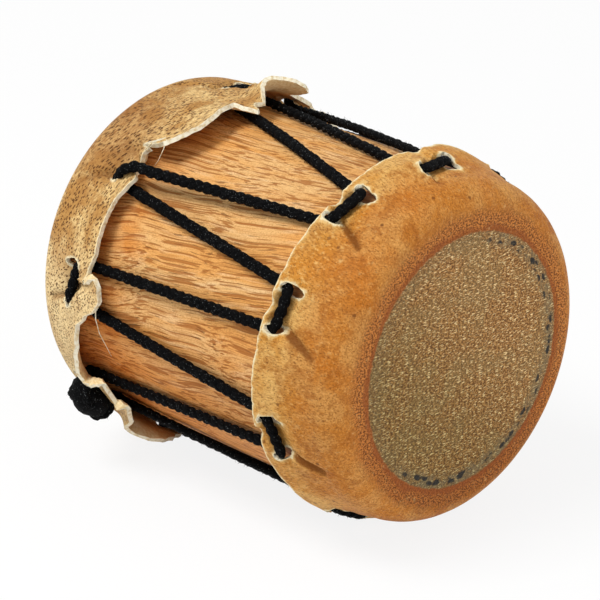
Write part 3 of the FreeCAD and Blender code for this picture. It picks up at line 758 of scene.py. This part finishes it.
# Fibres that hang loose from the hem: one long hair and a fray at the torn slit, each as its
# half width and its places by depth, radius and angle.
LOOSE_FIBRES = [
    (0.22, [(34.6, 62.9, 83.5), (33.8, 62.4, 86.5), (33.4, 62.0, 91), (33.0, 60.6, 96.5),
            (32.7, 58.6, 102), (32.4, 57.4, 107)]),
    (0.28, [(36.5, 65.6, 31.5), (34.0, 65.4, 33.6), (31.5, 63.8, 35.6), (29.8, 62.2, 36.8)]),
    (0.20, [(37.8, 65.8, 30.8), (36.4, 66.4, 33.4), (34.0, 65.2, 36.0), (32.6, 62.4, 37.4)]),
    (0.22, [(33.6, 64.6, 32.4), (32.0, 65.4, 34.4), (30.2, 64.0, 35.4)]),
    (0.18, [(38.4, 65.4, 31.2), (39.2, 64.4, 34.2), (38.0, 62.0, 37.2), (36.2, 60.4, 38.6)]),
]
EDGE_FINISH = 1


def add_fibre(mesh_maker, half_width, places):
    """A thin fibre through the places, tapered to its end and closed at both."""
    points = [around(-(HALF_LENGTH - depth), radius, angle) for depth, radius, angle in places]
    rings = []
    for k, point in enumerate(points):
        way = (points[min(k + 1, len(points) - 1)] - points[max(k - 1, 0)]).normalized()
        side = way.cross(Vector((0.3, 0.2, 0.9))).normalized()
        other_side = way.cross(side)
        thin = half_width * (1 - 0.6 * k / (len(points) - 1)) * MM
        rings.append([mesh_maker.verts.new(point + corner * thin)
                      for corner in (side, other_side, -side, -other_side)])
    faces = [rings[0][::-1], rings[-1]]
    for ring, after in zip(rings, rings[1:]):
        faces += [(ring[j - 1], ring[j], after[j], after[j - 1]) for j in range(4)]
    for corners in faces:
        face = mesh_maker.faces.new(corners)
        face.material_index = EDGE_FINISH
        face.smooth = True


with_fibres = bmesh.new()
with_fibres.from_mesh(back_skin.data)
for half_width, places in LOOSE_FIBRES:
    add_fibre(with_fibres, half_width, places)
with_fibres.to_mesh(back_skin.data)
with_fibres.free()
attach(back_skin, "root")
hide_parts("back_head")


# ---------------------------------------------------------------- the lacing
# One black cord, plaited from three soft strands. It zigzags between the heads on the bare
# shell, slips under a hem, comes out of a slit, crosses the pleat and goes in again.
UNDER_HEM, BEND_ROUNDING = 4.6, 6
ON_THE_SHELL = SHELL_RADIUS + GAP + CORD / 2
# At the torn slit the cord lies over the hem: depth, radius and angle of its bends there.
OVER_TORN_HEM = [(39.0, 63.6, 42.0), (32.5, 64.4, 42.0), (28.5, 64.3, 45.0)]


def slit_bends(head, stitch, end):
    """Where the cord bends under the hem and where it bends out of the slit."""
    angle, depth, skew = stitch
    depth += end * skew / 2
    over_skin = head.wood(depth) + 2 * GAP + head.skin + CORD / 2
    high = over_skin / math.cos(math.radians(HALF_SPREAD))
    under = (head.side * (HALF_LENGTH - depth - UNDER_HEM), ON_THE_SHELL,
             angle + end * (HALF_SPREAD + 0.8))
    out = (head.side * (HALF_LENGTH - depth), high, angle + end * HALF_SPREAD)
    return under, out


def lacing_bends():
    """Every bend of the cord from the knot round the drum to the knot."""
    count = len(FRONT_STITCHES)
    stops = []
    for step in range(1, count + 1):
        stops.append((front, FRONT_STITCHES[(KNOT_STITCH + step) % count]))
        stops.append((back, BACK_STITCHES[(KNOT_STITCH + step) % count]))
    stops.pop()
    angle, depth, _ = BACK_STITCHES[KNOT_STITCH]
    knot_x = -(HALF_LENGTH - depth - 1)

    def knot_end(end):
        return [(knot_x, back.edge + 5, angle + end * HALF_SPREAD / 2),
                (knot_x - 4, ON_THE_SHELL, angle + end * HALF_SPREAD)]

    bends = knot_end(1)
    for head, stitch in stops:
        under, out = slit_bends(head, stitch, -1)
        if stitch is BACK_STITCHES[1]:
            bends += [(depth - HALF_LENGTH, radius, angle) for depth, radius, angle in OVER_TORN_HEM]
        else:
            bends += on_the_shell(bends[-1], under) + [under, out]
        under, out = slit_bends(head, stitch, 1)
        bends += [out, under]
    last = knot_end(-1)[::-1]
    return bends + on_the_shell(bends[-1], last[0]) + last


def on_the_shell(start, end):
    """Places that keep a run on the shell's curve."""
    steps = math.ceil(abs(apart(end[2], start[2])) / 5)
    return [(start[0] + (end[0] - start[0]) * k / steps, start[1],
             start[2] + apart(end[2], start[2]) * k / steps) for k in range(1, steps)]


def rounded(points, largest, share=0.46, steps=5):
    """The points joined by straight runs with each corner rounded."""
    line = [points[0]]
    for before, corner, after in zip(points, points[1:], points[2:]):
        reach = min((before - corner).length * share, (after - corner).length * share, largest)
        start = corner + (before - corner).normalized() * reach
        end = corner + (after - corner).normalized() * reach
        for k in range(steps + 1):
            t = k / steps
            line.append(start * (1 - t) ** 2 + corner * 2 * t * (1 - t) + end * t * t)
    return line + [points[-1]]


def cord_guide(name, line):
    """A plain curve through the points, for the plait to follow."""
    curve = bpy.data.curves.new(name, "CURVE")
    curve.dimensions = "3D"
    spline = curve.splines.new("POLY")
    spline.points.add(len(line) - 1)
    for point, place in zip(spline.points, line):
        point.co = (*place, 1)
    return in_scene(name, curve)


def plait_tree():
    """Geometry nodes that plait three strands along a curve."""
    group = bpy.data.node_groups.new("plaited_cord", "GeometryNodeTree")
    face = group.interface
    face.new_socket("Geometry", in_out="INPUT", socket_type="NodeSocketGeometry")
    for name, value in (("Strand Radius", 1.24), ("Sideways Swing", 0.82), ("Outward Swing", 0.32),
                        ("Plait Length", 10.5), ("Lumpiness", 0.22), ("Step", 0.7),
                        ("Fibre Length", 1.3), ("Fibre Radius", 0.07),
                        ("Fibres Per Square Centimetre", 11.0)):
        socket = face.new_socket(name, in_out="INPUT", socket_type="NodeSocketFloat")
        socket.default_value = value
    face.new_socket("Finish", in_out="INPUT", socket_type="NodeSocketMaterial")
    face.new_socket("Geometry", in_out="OUTPUT", socket_type="NodeSocketGeometry")
    given = node(group, "NodeGroupInput").outputs

    def maths(operation, first, second):
        return arithmetic(group, operation, first, second)

    def in_metres(name):
        return maths("MULTIPLY", given[name], MM)

    def vector(operation, first, second):
        second_input = "Scale" if operation == "SCALE" else 1
        return node(group, "ShaderNodeVectorMath", {0: first, second_input: second},
                    operation=operation).outputs[0]

    position = node(group, "GeometryNodeInputPosition").outputs[0]
    tangent = node(group, "GeometryNodeInputTangent").outputs[0]
    outward = vector("MULTIPLY", vector("SUBTRACT", position, AXIS), (0, 1, 1))
    across = vector("NORMALIZE", vector("CROSS_PRODUCT", tangent, outward), (0, 0, 0))
    level = vector("CROSS_PRODUCT", across, tangent)
    joined = node(group, "GeometryNodeJoinGeometry")
    joined_all = node(group, "GeometryNodeJoinGeometry")
    for strand in range(3):
        resampled = node(group, "GeometryNodeResampleCurve",
                         {"Curve": given["Geometry"], "Length": in_metres("Step")}, mode="LENGTH")
        walked = node(group, "GeometryNodeSplineParameter").outputs["Length"]
        phase = maths("ADD", maths("MULTIPLY", maths("DIVIDE", walked, in_metres("Plait Length")),
                                   2 * math.pi), 2 * math.pi * strand / 3)
        sideways = maths("MULTIPLY", maths("SINE", phase, 0.0), in_metres("Sideways Swing"))
        lifted = maths("MULTIPLY", maths("SINE", maths("MULTIPLY", phase, 2.0), 0.0),
                       in_metres("Outward Swing"))
        swung = vector("ADD", vector("SCALE", across, sideways), vector("SCALE", level, lifted))
        rough = node(group, "ShaderNodeTexNoise", {"Vector": position, "Scale": 420.0 + 30 * strand,
                                                   "Detail": 1.0}, noise_dimensions="3D")
        uneven = vector("SCALE", vector("ADD", rough.outputs["Color"], (-0.5, -0.5, -0.5)),
                        maths("MULTIPLY", in_metres("Lumpiness"), 2.0))
        placed = node(group, "GeometryNodeSetPosition", {"Geometry": resampled.outputs[0],
                                                         "Offset": vector("ADD", swung, uneven)})
        thick = maths("MULTIPLY", maths("ADD", 0.8, maths("MULTIPLY", rough.outputs["Fac"], 0.4)),
                      in_metres("Strand Radius"))
        sized = node(group, "GeometryNodeSetCurveRadius", {"Curve": placed.outputs[0], "Radius": thick})
        ring = node(group, "GeometryNodeCurvePrimitiveCircle", {"Resolution": 7, "Radius": 1.0})
        radius = node(group, "GeometryNodeInputRadius").outputs[0]
        tube = node(group, "GeometryNodeCurveToMesh", {
            "Curve": sized.outputs[0], "Profile Curve": ring.outputs[0], "Scale": radius,
            "Fill Caps": True})
        group.links.new(tube.outputs[0], joined.inputs[0])
    roots = node(group, "GeometryNodeDistributePointsOnFaces", {
        "Mesh": joined.outputs[0], "Seed": 7,
        "Density": maths("MULTIPLY", given["Fibres Per Square Centimetre"], 1e4)})
    fibre = node(group, "GeometryNodeMeshCone", {
        "Vertices": 3, "Radius Top": 0.0, "Radius Bottom": in_metres("Fibre Radius"),
        "Depth": in_metres("Fibre Length")})
    tilt = node(group, "FunctionNodeRandomValue", {
        "Min": (-1.1, -1.1, 0), "Max": (1.1, 1.1, 6.28), "Seed": 3}, data_type="FLOAT_VECTOR")
    swept = node(group, "FunctionNodeRotateRotation", {
        0: roots.outputs["Rotation"], 1: tilt.outputs[0]}, rotation_space="LOCAL")
    fuzz = node(group, "GeometryNodeInstanceOnPoints", {
        "Points": roots.outputs["Points"], "Instance": fibre.outputs["Mesh"],
        "Rotation": swept.outputs[0]})
    group.links.new(fuzz.outputs[0], joined_all.inputs[0])
    group.links.new(joined.outputs[0], joined_all.inputs[0])
    smooth = node(group, "GeometryNodeSetShadeSmooth", {0: joined_all.outputs[0]})
    real = node(group, "GeometryNodeRealizeInstances", {0: smooth.outputs[0]})
    dressed = node(group, "GeometryNodeSetMaterial", {"Geometry": real.outputs[0],
                                                      "Material": given["Finish"]})
    node(group, "NodeGroupOutput", {0: dressed.outputs[0]})
    return group


def plaited(name, guide, tree, finish_material, **sizes):
    """A plain mesh of the plait along a guide; the guide is taken away."""
    maker = guide.modifiers.new("plait", "NODES")
    maker.node_group = tree
    for item in tree.interface.items_tree:
        if item.in_out == "INPUT":
            if item.name == "Finish":
                maker[item.identifier] = finish_material
            elif item.name in sizes:
                maker[item.identifier] = sizes[item.name]
    evaluated = guide.evaluated_get(bpy.context.evaluated_depsgraph_get())
    mesh = bpy.data.meshes.new_from_object(evaluated)
    mesh.name = name
    guide.modifiers.clear()
    bpy.data.objects.remove(guide)
    return in_scene(name, mesh)


black_cord, tree = new_finish("black_cord")
place = place_in_mm(tree)
thread = grain_noise(tree, place, 2.2, detail=3, roughness=0.7)
# Painted highlights: pale grey specks in the cord's colour stand in for its small glints.
painted_glint = grain_noise(tree, place, 2.9, detail=1.0)
colour = mixed(tree, between(tree, thread, 0.45, 0.8), (0.001, 0.001, 0.0012),
               (0.006, 0.006, 0.007))
colour = mixed(tree, between(tree, painted_glint, 0.70, 0.77), colour, (0.34, 0.36, 0.36))
finish(tree, colour, thread, 0.0005, 0.7, 0.05)

plait = plait_tree()
cord_line = rounded([around(*bend) for bend in lacing_bends()], BEND_ROUNDING * MM)
lacing = plaited("lacing", cord_guide("lacing_route", cord_line), plait, black_cord)
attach(lacing, "root")
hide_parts("lacing_cord")


# ---------------------------------------------------------------- the knot
# The cord's two ends come up through the back head's fourth pair of slits and are tied in one
# hard lump, cut off short. The lump is a wound core that the loop of plait shows on.
KNOT_ALONG, KNOT_RADIUS, KNOT_TURN = -49.9, 64.8, -1.5
LOOP_SIZE, LOOP_LEAN, LOOP_STEPS = (2.25, 2.6, 3.4), 0.4, 40
CORE_SIZE, CORE_ROUGHNESS = (7.0, 8.7, 6.1), 0.12
knot_angle = BACK_STITCHES[KNOT_STITCH][0] + KNOT_TURN
knot_centre = around(KNOT_ALONG, KNOT_RADIUS, knot_angle)
knot_along, knot_side, knot_out = Vector((1, 0, 0)), outward(knot_angle + 90), outward(knot_angle)


def in_knot(a, b, c, size):
    """The place in the lump at shares of its size along the drum, round it and outwards."""
    return knot_centre + (knot_along * a * size[0] + knot_side * b * size[1]
                          + knot_out * c * size[2]) * MM


def knot_loop():
    """The cord's way through the lump: a closed overhand loop."""
    line = []
    for k in range(LOOP_STEPS + 1):
        t = 2 * math.pi * k / LOOP_STEPS
        a = math.sin(t) + 2 * math.sin(2 * t)
        b = math.cos(t) - 2 * math.cos(2 * t)
        leaned_a = a * math.cos(LOOP_LEAN) - b * math.sin(LOOP_LEAN)
        leaned_b = a * math.sin(LOOP_LEAN) + b * math.cos(LOOP_LEAN)
        line.append(in_knot(leaned_a, leaned_b, -math.sin(3 * t), LOOP_SIZE))
    return line


knot = plaited("knot", cord_guide("knot_route", knot_loop()), plait, black_cord, Lumpiness=0.4)
black_slot = knot.data.polygons[0].material_index
core = bmesh.new()
bmesh.ops.create_icosphere(core, subdivisions=3, radius=1.0)
for vertex in core.verts:
    a, b, c = vertex.co * (1 + CORE_ROUGHNESS * noise.noise(vertex.co * 2.5))
    vertex.co = in_knot(a, -b, c, CORE_SIZE)
for face in core.faces:
    face.smooth = True
    face.material_index = black_slot
core.from_mesh(knot.data)
core.to_mesh(knot.data)
core.free()
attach(knot, "root")
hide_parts("lacing_knot")
